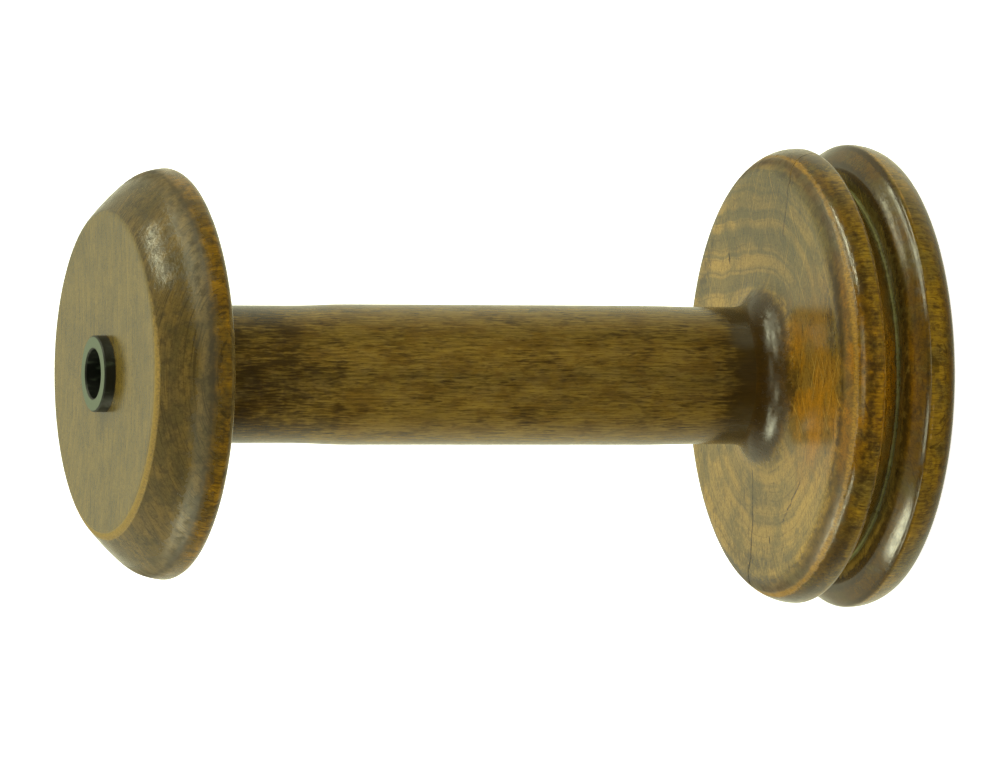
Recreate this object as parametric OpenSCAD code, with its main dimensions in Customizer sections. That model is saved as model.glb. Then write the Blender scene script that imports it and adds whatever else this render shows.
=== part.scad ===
// Spinning wheel bobbin: a turned wooden barrel between an end flange and a grooved whorl,
// with a bush at each end that runs on the flyer's shaft.
// It stands on the whorl's outer face, at z = 0, with its axis along +Z.

/* [Body] */
// Length of the wood, from the whorl's outer face to the end flange's outer face
body_length = 146; // [120:1:200]

/* [Barrel] */
// Largest diameter of the barrel, along its middle
barrel_d = 25; // [22:0.5:30]
// Diameter of the neck next to the whorl
foot_neck_d = 24.7; // [22:0.1:28]
// Diameter of the neck next to the end flange
head_neck_d = 24.4; // [22:0.1:28]
// Length of the neck next to the whorl
foot_neck_length = 9; // [4:1:20]
// Length of the neck next to the end flange
head_neck_length = 24; // [10:1:35]
// Length of the taper between a neck and the middle
neck_taper = 7; // [3:1:15]
// Diameter of the clearance hole for the shaft
barrel_bore_d = 10.5; // [10:0.1:11.5]

/* [Tenons] */
// Diameter of the tenon at each end of the barrel
tenon_d = 18; // [16.5:0.1:20]
// Length of the bevel at the tip of each tenon
tenon_bevel = 0.6; // [0.2:0.1:1]
// Room for glue all round a tenon
glue_gap = 0.05; // [0.02:0.01:0.15]

/* [End flange] */
// Thickness of the end flange
flange_thickness = 12.6; // [11:0.1:18]
// Largest diameter of the end flange, at its rim
flange_d = 72.7; // [64:0.2:90]
// Diameter of the flat outer face
flange_face_d = 57.1; // [40:0.2:60]
// Height of the flank's lower arris above the inner face
flank_height = 4.6; // [3:0.1:7]
// How far the rim draws in from its widest line to that arris
flank_step = 0.55; // [0.2:0.05:2]
// How far the flank bulges outwards at its middle
flank_bow = 0.33; // [0.1:0.01:1]
// Radius of the rounding between the rim and the inner face
rim_round = 1.7; // [0.5:0.1:2.5]

/* [Whorl] */
// Thickness of the whorl, without its cove
whorl_thickness = 21.1; // [18.5:0.1:26]
// Radius of the cove between the whorl and the barrel
cove_r = 6; // [3:0.1:10]
// Largest diameter of the outer disc
outer_disc_d = 83.6; // [79:0.2:95]
// Diameter of the flat outer face
outer_face_d = 78; // [60:0.2:80]
// Height of the outer disc's widest line above the outer face
outer_rim_height = 5; // [3.5:0.1:6]
// Width of the narrow land at that line
outer_rim_land = 0.4; // [0.2:0.1:1.2]
// Largest diameter of the inner disc
inner_disc_d = 82; // [80:0.1:92]
// Height of the inner disc's widest line above the outer face
inner_rim_height = 14.7; // [14.3:0.1:16.5]
// Diameter at which the inner face starts to round over
inner_face_d = 70.8; // [60:0.2:76]

/* [Drive band groove] */
// Diameter at the bottom of the groove
groove_bottom_d = 70; // [60:0.2:74]
// Height of the groove's bottom above the outer face
groove_height = 9.1; // [8.6:0.1:9.6]
// Width of the groove's narrow bottom
groove_bottom_width = 0.5; // [0.2:0.1:1]
// Width of the outer disc's sloping shoulder, along the radius
shoulder_width = 2.8; // [1.5:0.1:3.2]
// Height of the shoulder's top above the outer face
shoulder_height = 8.2; // [7.8:0.1:8.5]
// How far the shoulder bulges outwards at its middle
shoulder_bow = 0.14; // [0.05:0.01:0.25]
// Width of the rounding between the shoulder and the groove's level floor
shoulder_round = 1.6; // [1:0.1:2]
// Diameter of the inner disc's lip above the groove
lip_d = 79.6; // [77:0.1:81]
// Height of that lip above the outer face
lip_height = 13.5; // [12.6:0.1:14]

/* [Bushes] */
// Outer diameter of a bush
bush_d = 13.5; // [12:0.1:15.5]
// Diameter of its bore, which runs on the shaft
bush_bore_d = 8.7; // [6:0.1:9.5]
// Length of a bush
bush_length = 9; // [6:0.1:11]
// How far the bush stands out of the end flange
flange_bush_proud = 2; // [0:0.1:4]
// How far the bush lies inside the whorl's outer face
whorl_bush_inset = 0.3; // [0:0.1:2]
// Bevel at the edges of a bush
bush_bevel = 0.25; // [0.1:0.05:0.6]
// Clearance all round a bush in its seat
seat_gap = 0.02; // [0.01:0.01:0.05]

/* [Hidden] */

wood = "#7a5a2c";
end_grain = "#86683a";
black_plastic = "#1d1f1e";

// Smoothness of the round bodies, and steps along each arc of an outline
$fn = 180;
arc_steps = 10;
// How far a cut reaches past the face that it opens
over = 1;

// Heights on the axis
flange_inner_z = body_length - flange_thickness;
cove_top_z = whorl_thickness + cove_r;
flange_seat_z = body_length + flange_bush_proud - bush_length;
whorl_seat_z = whorl_bush_inset + bush_length;

// Points of the quarter ellipse from p to q, both [radius, height]. It leaves p along the
// radius and arrives at q along the axis, or the other way round. The point p is left out.
function quarter(p, q, radius_first) =
    [for (i = [1 : arc_steps])
        let (turn = 90 * i / arc_steps, quick = sin(turn), slow = 1 - cos(turn))
            radius_first
                ? [p[0] + (q[0] - p[0]) * quick, p[1] + (q[1] - p[1]) * slow]
                : [p[0] + (q[0] - p[0]) * slow, p[1] + (q[1] - p[1]) * quick]];

// Points of the shallow arc from p to q that stands rise off the straight line between them,
// to the left of the way from p to q, or to the right where rise is negative. p is left out.
function bow(p, q, rise) =
    let (chord = norm(q - p),
         along = (q - p) / chord,
         left = [-along[1], along[0]],
         radius = (chord * chord / 4 + rise * rise) / (2 * rise),
         centre = (p + q) / 2 + left * (rise - radius),
         half = asin(chord / 2 / abs(radius)))
    [for (i = [1 : arc_steps])
        let (turn = (2 * i / arc_steps - 1) * half)
            centre + abs(radius) * (along * sin(turn) + left * sign(rise) * cos(turn))];

// The turned core, with a shouldered tenon at each end and a hole for the shaft.
module barrel() {
    foot_r = foot_neck_d / 2;
    head_r = head_neck_d / 2;
    tenon_r = tenon_d / 2;
    foot_neck_z = cove_top_z + foot_neck_length;
    head_neck_z = flange_inner_z - head_neck_length;
    color(wood)
        rotate_extrude()
            polygon([
                [barrel_bore_d / 2, whorl_seat_z],
                [tenon_r - tenon_bevel, whorl_seat_z],
                [tenon_r, whorl_seat_z + tenon_bevel],
                [tenon_r, cove_top_z],
                [foot_r, cove_top_z],
                [foot_r, foot_neck_z],
                [barrel_d / 2, foot_neck_z + neck_taper],
                [barrel_d / 2, head_neck_z - neck_taper],
                [head_r, head_neck_z],
                [head_r, flange_inner_z],
                [tenon_r, flange_inner_z],
                [tenon_r, flange_seat_z - tenon_bevel],
                [tenon_r - tenon_bevel, flange_seat_z],
                [barrel_bore_d / 2, flange_seat_z]
            ]);
}

// The smaller disc: a flat face inside, a rounded rim, a cone-shaped flank and a flat face outside.
module end_flange() {
    rim_r = flange_d / 2;
    arris = [rim_r - flank_step, flange_inner_z + flank_height];
    face_edge = [flange_face_d / 2, body_length];
    color(end_grain)
        difference() {
            rotate_extrude()
                polygon(concat(
                    [[0, flange_inner_z], [rim_r - rim_round, flange_inner_z]],
                    quarter([rim_r - rim_round, flange_inner_z],
                            [rim_r, flange_inner_z + rim_round], true),
                    [arris],
                    bow(arris, face_edge, -flank_bow),
                    [[0, body_length]]
                ));
            tenon_socket(flange_inner_z - over, flange_seat_z);
            bush_seat(flange_seat_z, body_length + over);
        }
}

// The larger disc, grooved for the drive band. Its inner face runs out on to the barrel in a cove,
// and its outer face is what the bobbin stands on.
module whorl() {
    outer_r = outer_disc_d / 2;
    bottom_r = groove_bottom_d / 2;
    outer_face_edge = [outer_face_d / 2, 0];
    outer_rim = [outer_r, outer_rim_height];
    groove_edge = [outer_r, outer_rim_height + outer_rim_land];
    shoulder = [outer_r - shoulder_width, shoulder_height];
    floor_z = groove_height - groove_bottom_width / 2;
    lip = [lip_d / 2, lip_height];
    inner_rim = [inner_disc_d / 2, inner_rim_height];
    inner_face_edge = [inner_face_d / 2, whorl_thickness];
    cove_foot = [foot_neck_d / 2 + cove_r, whorl_thickness];
    cove_top = [foot_neck_d / 2, cove_top_z];
    color(end_grain)
        difference() {
            rotate_extrude()
                polygon(concat(
                    [[0, 0], outer_face_edge],
                    quarter(outer_face_edge, outer_rim, true),
                    [groove_edge],
                    bow(groove_edge, shoulder, -shoulder_bow),
                    bow(shoulder, [shoulder[0] - shoulder_round, floor_z], -shoulder_bow),
                    [[bottom_r, floor_z], [bottom_r, floor_z + groove_bottom_width], lip],
                    quarter(lip, inner_rim, true),
                    quarter(inner_rim, inner_face_edge, false),
                    [cove_foot],
                    quarter(cove_foot, cove_top, true),
                    [[0, cove_top_z]]
                ));
            bush_seat(-over, whorl_seat_z);
            tenon_socket(whorl_seat_z, cove_top_z + over);
        }
}

// The hole that a tenon is glued in, from height low to height high.
module tenon_socket(low, high) {
    translate([0, 0, low])
        cylinder(h = high - low, d = tenon_d + 2 * glue_gap);
}

// The hole that a bush is pressed in, from height low to height high.
module bush_seat(low, high) {
    translate([0, 0, low])
        cylinder(h = high - low, d = bush_d + 2 * seat_gap);
}

// A bush, bevelled at its outer end, with its inner end at height inner and its outer end at outer.
module bush(inner, outer) {
    inwards = sign(inner - outer) * bush_bevel;
    color(black_plastic)
        rotate_extrude()
            polygon([
                [bush_bore_d / 2, inner],
                [bush_d / 2, inner],
                [bush_d / 2, outer + inwards],
                [bush_d / 2 - bush_bevel, outer],
                [bush_bore_d / 2 + bush_bevel, outer],
                [bush_bore_d / 2, outer + inwards]
            ]);
}

module flange_bush() {
    bush(flange_seat_z, body_length + flange_bush_proud);
}

module whorl_bush() {
    bush(whorl_seat_z, whorl_bush_inset);
}

barrel();
end_flange();
whorl();
flange_bush();
whorl_bush();
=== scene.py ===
# A spinning wheel bobbin in turned, stained and lacquered hardwood, with black plastic bushes.
# Lengths in the outlines are in millimetres, as on a turner's drawing, and the meshes are in metres.
import math

import bpy
from mathutils import Matrix, Vector


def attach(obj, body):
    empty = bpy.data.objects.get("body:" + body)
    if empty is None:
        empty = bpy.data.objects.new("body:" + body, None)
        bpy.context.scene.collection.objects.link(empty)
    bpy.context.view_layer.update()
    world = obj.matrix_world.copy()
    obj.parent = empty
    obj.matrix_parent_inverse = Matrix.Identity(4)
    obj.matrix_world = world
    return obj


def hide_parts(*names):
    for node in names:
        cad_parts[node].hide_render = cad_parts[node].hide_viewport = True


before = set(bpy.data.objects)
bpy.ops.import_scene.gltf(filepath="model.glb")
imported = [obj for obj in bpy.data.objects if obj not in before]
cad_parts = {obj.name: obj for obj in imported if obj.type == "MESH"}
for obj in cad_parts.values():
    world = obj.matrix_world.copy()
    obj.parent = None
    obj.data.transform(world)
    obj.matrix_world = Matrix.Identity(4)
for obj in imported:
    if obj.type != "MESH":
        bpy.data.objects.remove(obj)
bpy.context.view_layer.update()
MM = 0.001

# The camera
# It looks down at the standing bobbin at the photograph's angle and is turned on its side, so that
# the end flange lies to the left in the picture and the whorl to the right.
CAMERA_TILT = math.radians(20.4)
CAMERA_DISTANCE = 1.893
CAMERA_LENS = 381.6
CAMERA_AIM = Vector((-0.00153, 0.0, 0.0715))
CAMERA_ROLL = math.radians(0.15)

to_camera = Vector((0.0, -math.cos(CAMERA_TILT), math.sin(CAMERA_TILT)))
level = Vector((1.0, 0.0, 0.0))
picture_up = level * math.cos(CAMERA_ROLL) - level.cross(to_camera) * math.sin(CAMERA_ROLL)
picture_right = picture_up.cross(to_camera)
camera = bpy.data.objects.new("camera", bpy.data.cameras.new("camera"))
camera.data.lens = CAMERA_LENS
camera.data.sensor_width = 36.0
camera.data.clip_start = 0.05
camera.data.clip_end = 20.0
turn = Matrix((picture_right, picture_up, to_camera)).transposed().to_4x4()
camera.matrix_world = Matrix.Translation(CAMERA_AIM + to_camera * CAMERA_DISTANCE) @ turn
bpy.context.scene.collection.objects.link(camera)
bpy.context.scene.camera = camera
bpy.context.scene.view_settings.view_transform = "Standard"


# The studio
# A pale paper floor that the bobbin stands on, a pale room that is darker low in front, where the
# photographer stands, and strip lights in it, whose narrow mirror images show on the lacquer.
FLOOR_HALF_WIDTH = 4.0
PAPER = (0.93, 0.93, 0.925, 1.0)
PAPER_GLOW = 0.3
PAPER_GLOW_SEEN = 0.9
ROOM_TINT = (0.98, 1.0, 0.7, 1.0)
STRIP_TINT = (0.98, 1.0, 0.68)
ROOM_BEHIND = 0.57
ROOM_IN_FRONT = 0.05
ROOM_OVERHEAD = 0.42
ROOM_OVERHEAD_WAY = (-0.1, 0.45, 0.89)
ROOM_LOW_FRONT = 0.0
ROOM_LOW_BEHIND = 0.9
# Each strip light's direction, the way that it runs, its distance, length and width, and its radiance
STRIPS = {
    "strip_up_behind": ((0.65, 0.2, 0.73), (0.25, 0.83, -0.47), 2.0, 1.1, 0.055, 17.0),
    "strip_up_beside": ((0.8, 0.06, 0.6), (0.13, 0.93, -0.34), 2.0, 1.4, 0.1, 13.0),
    "strip_up_in_front": ((0.63, -0.38, 0.68), (0.65, 0.74, -0.19), 2.0, 1.0, 0.4, 7.0),
    "strip_up_low": ((0.86, -0.28, 0.43), (0.2, 0.97, -0.05), 2.0, 1.6, 0.1, 26.0),
    "strip_down_beside": ((-0.78, 0.05, 0.62), (-0.2, 0.93, -0.3), 0.42, 0.2, 0.07, 15.0),
    "strip_down_low": ((-0.85, -0.2, 0.48), (-0.25, 0.95, -0.1), 2.0, 1.5, 0.1, 15.0),
    "strip_down_in_front": ((-0.35, -0.56, 0.75), (0.8, -0.5, 0.0), 2.0, 0.8, 0.3, 6.0),
    "fill_in_front": ((0.05, -0.86, 0.5), (1.0, 0.0, 0.0), 2.0, 1.6, 0.35, 2.0),
}


def add(tree, kind, settings=None, **sockets):
    """Adds a node. Sockets are named with _ for a space, and one given an output is joined to it."""
    node = tree.nodes.new(kind)
    for name, value in (settings or {}).items():
        setattr(node, name, value)
    for name, value in sockets.items():
        join(tree, node.inputs[name.replace("_", " ")], value)
    return node


def join(tree, socket, value):
    """Sets a socket to a plain value, or joins it to the output given."""
    if isinstance(value, bpy.types.NodeSocket):
        tree.links.new(value, socket)
    else:
        socket.default_value = value


def maths(tree, operation, *values):
    """A math node on one to three values."""
    node = tree.nodes.new("ShaderNodeMath")
    node.operation = operation
    for socket, value in zip(node.inputs, values):
        join(tree, socket, value)
    return node.outputs[0]


def spread(tree, value, low, high, start=0.0, end=1.0):
    """Spreads a value smoothly from low and high to start and end."""
    return add(tree, "ShaderNodeMapRange", {"interpolation_type": "SMOOTHSTEP"}, Value=value,
               From_Min=low, From_Max=high, To_Min=start, To_Max=end).outputs[0]


def blend(tree, share, first, second, way="MIX"):
    """Mixes two colours by a share from 0 to 1."""
    node = tree.nodes.new("ShaderNodeMix")
    node.data_type = "RGBA"
    node.blend_type = way
    join(tree, node.inputs["Factor"], share)
    join(tree, node.inputs[6], first)
    join(tree, node.inputs[7], second)
    return node.outputs[2]


def new_material(name):
    """An empty material, and its tree."""
    material = bpy.data.materials.new(name)
    material.use_nodes = True
    material.node_tree.nodes.clear()
    return material, material.node_tree


def finish_material(tree, **sockets):
    """Ends a material with its surface shader."""
    surface = add(tree, "ShaderNodeBsdfPrincipled", **sockets)
    add(tree, "ShaderNodeOutputMaterial", Surface=surface.outputs[0])
    return surface


def build_floor():
    mesh = bpy.data.meshes.new("floor")
    half = FLOOR_HALF_WIDTH
    mesh.from_pydata([(-half, -half, 0), (half, -half, 0), (half, half, 0), (-half, half, 0)], [], [(0, 1, 2, 3)])
    floor = bpy.data.objects.new("floor", mesh)
    bpy.context.scene.collection.objects.link(floor)
    material, tree = new_material("pale_paper")
    place = add(tree, "ShaderNodeTexCoord").outputs["Object"]
    fibre = add(tree, "ShaderNodeTexNoise", Vector=place, Scale=900.0, Detail=3.0).outputs[0]
    dull = tuple(0.985 * c for c in PAPER[:3]) + (1.0,)
    seen = add(tree, "ShaderNodeLightPath").outputs["Is Camera Ray"]
    finish_material(tree, Base_Color=blend(tree, fibre, PAPER, dull), Roughness=0.9, Specular_IOR_Level=0.1,
                    Emission_Color=(1.0, 1.0, 1.0, 1.0),
                    Emission_Strength=spread(tree, seen, 0.0, 1.0, PAPER_GLOW, PAPER_GLOW_SEEN))
    mesh.materials.append(material)
    floor.visible_glossy = False


def build_room():
    world = bpy.data.worlds.new("studio")
    bpy.context.scene.world = world
    world.use_nodes = True
    tree = world.node_tree
    tree.nodes.clear()
    looking = add(tree, "ShaderNodeTexCoord").outputs["Generated"]
    way = add(tree, "ShaderNodeSeparateXYZ", Vector=looking)
    overhead = add(tree, "ShaderNodeVectorMath", {"operation": "DOT_PRODUCT"}, Vector=looking)
    overhead.inputs[1].default_value = ROOM_OVERHEAD_WAY
    overhead = spread(tree, overhead.outputs["Value"], 0.45, 1.0, 0.0, ROOM_OVERHEAD)
    low = spread(tree, way.outputs["Z"], -0.25, 0.02, 1.0, 0.0)
    low_light = spread(tree, way.outputs["Y"], -0.45, 0.6, ROOM_LOW_FRONT, ROOM_LOW_BEHIND)
    high_light = spread(tree, way.outputs["Y"], -0.4, 0.7, ROOM_IN_FRONT, ROOM_BEHIND)
    light = maths(tree, "ADD", maths(tree, "MULTIPLY", low, low_light),
                  maths(tree, "MULTIPLY", maths(tree, "SUBTRACT", 1.0, low), maths(tree, "ADD", high_light, overhead)))
    seen = add(tree, "ShaderNodeLightPath").outputs["Is Camera Ray"]
    strength = maths(tree, "MAXIMUM", light, maths(tree, "MULTIPLY", seen, 1.5))
    room = add(tree, "ShaderNodeBackground", Color=ROOM_TINT, Strength=strength)
    add(tree, "ShaderNodeOutputWorld", Surface=room.outputs[0])


def build_strips():
    for name, (direction, runs, distance, length, width, radiance) in STRIPS.items():
        light = bpy.data.lights.new(name, "AREA")
        light.shape = "RECTANGLE"
        light.size = length
        light.size_y = width
        light.energy = radiance * math.pi * length * width
        light.color = STRIP_TINT
        strip = bpy.data.objects.new(name, light)
        back = Vector(direction).normalized()
        across = back.cross(Vector(runs)).normalized()
        turn = Matrix((across.cross(back), across, back)).transposed().to_4x4()
        strip.matrix_world = Matrix.Translation(back * distance) @ turn
        strip.visible_camera = False
        bpy.context.scene.collection.objects.link(strip)


build_floor()
build_room()
build_strips()


# The barrel
# The core that the yarn winds on, turned from a length of close-grained hardwood with the grain
# along the axis. A shouldered tenon at each end is glued into a disc, and the shaft passes through.
WOOD_LENGTH = 146.0
WHORL_THICKNESS = 21.1
COVE_RADIUS = 6.0
FLANGE_THICKNESS = 12.6
BUSH_LENGTH = 9.0
BUSH_PROUD = 2.0
BUSH_INSET = 0.3
COVE_TOP = WHORL_THICKNESS + COVE_RADIUS
FLANGE_INNER_FACE = WOOD_LENGTH - FLANGE_THICKNESS
FLANGE_SEAT = WOOD_LENGTH + BUSH_PROUD - BUSH_LENGTH
WHORL_SEAT = BUSH_INSET + BUSH_LENGTH

BARREL_RADIUS = 12.5
FOOT_NECK_RADIUS = 12.35
HEAD_NECK_RADIUS = 12.2
FOOT_NECK_LENGTH = 9.0
HEAD_NECK_LENGTH = 24.0
NECK_TAPER = 7.0
SHAFT_HOLE_RADIUS = 5.25
TENON_RADIUS = 9.0
TENON_BEVEL = 0.6

# How finely an outline is drawn, in millimetres, and how far a smooth line may turn in one step
DRAWN_STEP = 0.1
SHOWN_STEP = 0.45
HIDDEN_STEP = 3.0
SMOOTH_TURN = math.radians(5.0)
SHARP_ANGLE = math.radians(35.0)


class Outline:
    """A closed outline of radius and height that a piece is turned to, drawn leg by leg."""

    def __init__(self, radius, height):
        self.points = [(radius, height)]
        self.shown = [False]
        self.arrises = []

    def _add(self, points, shown):
        for point in points:
            last = self.points[-1]
            count = max(1, round(math.dist(last, point) / DRAWN_STEP))
            for i in range(1, count + 1):
                share = i / count
                self.points.append((last[0] + (point[0] - last[0]) * share, last[1] + (point[1] - last[1]) * share))
                self.shown.append(shown)

    def line(self, radius, height, shown=True):
        self._add([(radius, height)], shown)
        return self

    def quarter(self, radius, height, radius_first):
        """A quarter of an ellipse, which leaves along the radius or along the axis."""
        from_radius, from_height = self.points[-1]
        points = []
        for i in range(1, 61):
            turned = math.radians(1.5 * i)
            quick, slow = math.sin(turned), 1 - math.cos(turned)
            along_radius, along_axis = (quick, slow) if radius_first else (slow, quick)
            points.append((from_radius + (radius - from_radius) * along_radius,
                           from_height + (height - from_height) * along_axis))
        self._add(points, True)
        return self

    def bow(self, radius, height, rise):
        """A shallow arc that stands rise off the straight line, to the left of its way."""
        start, end = Vector(self.points[-1]), Vector((radius, height))
        chord = (end - start).length
        along = (end - start) / chord
        left = Vector((-along.y, along.x))
        arc_radius = (chord * chord / 4 + rise * rise) / (2 * rise)
        centre = (start + end) / 2 + left * (rise - arc_radius)
        half = math.asin(chord / 2 / abs(arc_radius))
        points = []
        for i in range(1, 41):
            turned = (i / 20 - 1) * half
            side = math.copysign(math.cos(turned), rise)
            points.append(tuple(centre + abs(arc_radius) * (along * math.sin(turned) + left * side)))
        self._add(points, True)
        return self

    def ease(self, softness):
        """Marks the last point as an arris that sandpaper has eased."""
        self.arrises.append((self.points[-1], softness))
        return self

    def eased(self):
        """The outline with its arrises eased, thinned to the steps that the lathe needs."""
        points = self.points[:-1] if math.dist(self.points[0], self.points[-1]) < 1e-6 else list(self.points)
        shown = self.shown[:len(points)]
        shown[0] = self.shown[-1]
        count = len(points)
        for _ in range(2):
            smoothed = list(points)
            for i, point in enumerate(points):
                reach = 0.0
                for arris, softness in self.arrises:
                    away = math.dist(point, arris)
                    if away < 2 * softness:
                        reach = max(reach, softness * min(1.0, 2 - away / softness))
                side = int(reach / DRAWN_STEP)
                if side:
                    near = [points[(i + k) % count] for k in range(-side, side + 1)]
                    smoothed[i] = (sum(p[0] for p in near) / len(near), sum(p[1] for p in near) / len(near))
            points = smoothed
        kept = [0]
        turned = 0.0
        for i in range(1, count):
            before = Vector(points[i]) - Vector(points[i - 1])
            after = Vector(points[(i + 1) % count]) - Vector(points[i])
            turned += abs(before.angle_signed(after, 0.0)) if before.length and after.length else 0.0
            step = SHOWN_STEP if shown[i] else HIDDEN_STEP
            if turned > SMOOTH_TURN or math.dist(points[i], points[kept[-1]]) > step:
                kept.append(i)
                turned = 0.0
        return [points[i] for i in kept], [shown[i] for i in kept]


def end_grain_shares(points):
    """1 where the outline's surface cuts across the fibres, and 0 where it runs along them."""
    count = len(points)
    shares = []
    for i in range(count):
        way = Vector(points[(i + 1) % count]) - Vector(points[i - 1])
        shares.append(abs(way.x) / way.length if way.length else 0.0)
    return shares


def lathe_tree():
    """Turns the object's own mesh, an outline, round the axis into a closed solid with a live surface."""
    tree = bpy.data.node_groups.new("turn_on_the_lathe", "GeometryNodeTree")
    face = tree.interface
    face.new_socket("Outline", in_out="INPUT", socket_type="NodeSocketGeometry")
    for name, kind, value in (("Steps Round", "NodeSocketInt", 256), ("Waviness", "NodeSocketFloat", 0.0),
                              ("Wave Size", "NodeSocketFloat", 0.01), ("Dent Depth", "NodeSocketFloat", 0.0),
                              ("Seed", "NodeSocketFloat", 1.0)):
        face.new_socket(name, in_out="INPUT", socket_type=kind).default_value = value
    face.new_socket("Finish", in_out="INPUT", socket_type="NodeSocketMaterial")
    face.new_socket("Turned Piece", in_out="OUTPUT", socket_type="NodeSocketGeometry")
    given = tree.nodes.new("NodeGroupInput").outputs
    outline = given["Outline"]
    around = given["Steps Round"]
    points = add(tree, "GeometryNodeAttributeDomainSize", Geometry=outline).outputs["Point Count"]
    rows = maths(tree, "ADD", points, 1.0)
    sheet = add(tree, "GeometryNodeMeshGrid", Vertices_X=maths(tree, "ADD", around, 1.0), Vertices_Y=rows)
    index = add(tree, "GeometryNodeInputIndex").outputs[0]
    column = maths(tree, "FLOOR", maths(tree, "DIVIDE", maths(tree, "ADD", index, 0.25), rows))
    row = maths(tree, "MODULO", maths(tree, "SUBTRACT", index, maths(tree, "MULTIPLY", column, rows)), points)

    def sample(kind, value):
        return add(tree, "GeometryNodeSampleIndex", {"data_type": kind, "domain": "POINT"},
                   Geometry=outline, Value=value, Index=row).outputs[0]

    drawn = add(tree, "ShaderNodeSeparateXYZ", Vector=sample("FLOAT_VECTOR", add(tree, "GeometryNodeInputPosition").outputs[0]))
    angle = maths(tree, "MULTIPLY", maths(tree, "DIVIDE", column, around), 2 * math.pi)
    place = add(tree, "ShaderNodeCombineXYZ",
                X=maths(tree, "MULTIPLY", drawn.outputs["X"], maths(tree, "COSINE", angle)),
                Y=maths(tree, "MULTIPLY", drawn.outputs["X"], maths(tree, "SINE", angle)),
                Z=drawn.outputs["Z"])
    solid = sheet.outputs["Mesh"]
    for mark in ("shown", "end_grain"):
        value = add(tree, "GeometryNodeInputNamedAttribute", {"data_type": "FLOAT"}, Name=mark).outputs[0]
        solid = add(tree, "GeometryNodeStoreNamedAttribute", {"data_type": "FLOAT", "domain": "POINT"},
                    Geometry=solid, Name=mark, Value=sample("FLOAT", value)).outputs[0]
    solid = add(tree, "GeometryNodeSetPosition", Geometry=solid, Position=place.outputs[0]).outputs[0]
    solid = add(tree, "GeometryNodeMergeByDistance", Geometry=solid, Distance=1e-6).outputs[0]

    where = add(tree, "GeometryNodeInputPosition").outputs[0]
    wave = add(tree, "ShaderNodeTexNoise", {"noise_dimensions": "4D"}, Vector=where, W=given["Seed"],
               Scale=maths(tree, "DIVIDE", 1.0, given["Wave Size"]), Detail=3.0, Roughness=0.6).outputs[0]
    wave = maths(tree, "MULTIPLY", maths(tree, "SUBTRACT", wave, 0.5), given["Waviness"])
    dent = add(tree, "ShaderNodeTexNoise", {"noise_dimensions": "4D"}, Vector=where,
               W=maths(tree, "ADD", given["Seed"], 7.0), Scale=130.0, Detail=1.0).outputs[0]
    dent = maths(tree, "MULTIPLY", spread(tree, dent, 0.68, 0.85), given["Dent Depth"])
    shown = add(tree, "GeometryNodeInputNamedAttribute", {"data_type": "FLOAT"}, Name="shown").outputs[0]
    lift = maths(tree, "MULTIPLY", maths(tree, "SUBTRACT", wave, dent), shown)
    outwards = add(tree, "GeometryNodeInputNormal").outputs[0]
    move = add(tree, "ShaderNodeVectorMath", {"operation": "SCALE"}, Vector=outwards, Scale=lift).outputs[0]
    solid = add(tree, "GeometryNodeSetPosition", Geometry=solid, Offset=move).outputs[0]
    solid = add(tree, "GeometryNodeSetShadeSmooth", Geometry=solid).outputs[0]
    solid = add(tree, "GeometryNodeRealizeInstances", Geometry=solid).outputs[0]
    solid = add(tree, "GeometryNodeSetMaterial", Geometry=solid, Material=given["Finish"]).outputs[0]
    tree.links.new(solid, tree.nodes.new("NodeGroupOutput").inputs["Turned Piece"])
    return tree


LATHE = lathe_tree()


def turn_piece(name, outline, finish, steps=256, waviness=0.0, wave_size=10.0, dents=0.0, seed=1.0):
    """Turns an outline on the lathe. Waviness, wave size and the depth of the dents are in millimetres."""
    points, shown = outline.eased()
    mesh = bpy.data.meshes.new(name)
    count = len(points)
    mesh.from_pydata([(r * MM, 0.0, z * MM) for r, z in points], [(i, (i + 1) % count) for i in range(count)], [])
    marks = {"shown": [float(s) for s in shown], "end_grain": end_grain_shares(points)}
    for mark, values in marks.items():
        mesh.attributes.new(mark, "FLOAT", "POINT").data.foreach_set("value", values)
    mesh.materials.append(finish)
    piece = bpy.data.objects.new(name, mesh)
    bpy.context.scene.collection.objects.link(piece)
    lathe = piece.modifiers.new("lathe", "NODES")
    lathe.node_group = LATHE
    values = {"Steps Round": steps, "Waviness": waviness * MM, "Wave Size": wave_size * MM,
              "Dent Depth": dents * MM, "Seed": seed, "Finish": finish}
    for item in LATHE.interface.items_tree:
        if item.in_out == "INPUT" and item.name in values:
            lathe[item.identifier] = values[item.name]
    bpy.context.view_layer.update()
    turned = bpy.data.meshes.new_from_object(piece.evaluated_get(bpy.context.evaluated_depsgraph_get()))
    turned.set_sharp_from_angle(angle=SHARP_ANGLE)
    piece.modifiers.clear()
    piece.data = turned
    turned.name = name
    return piece


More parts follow.
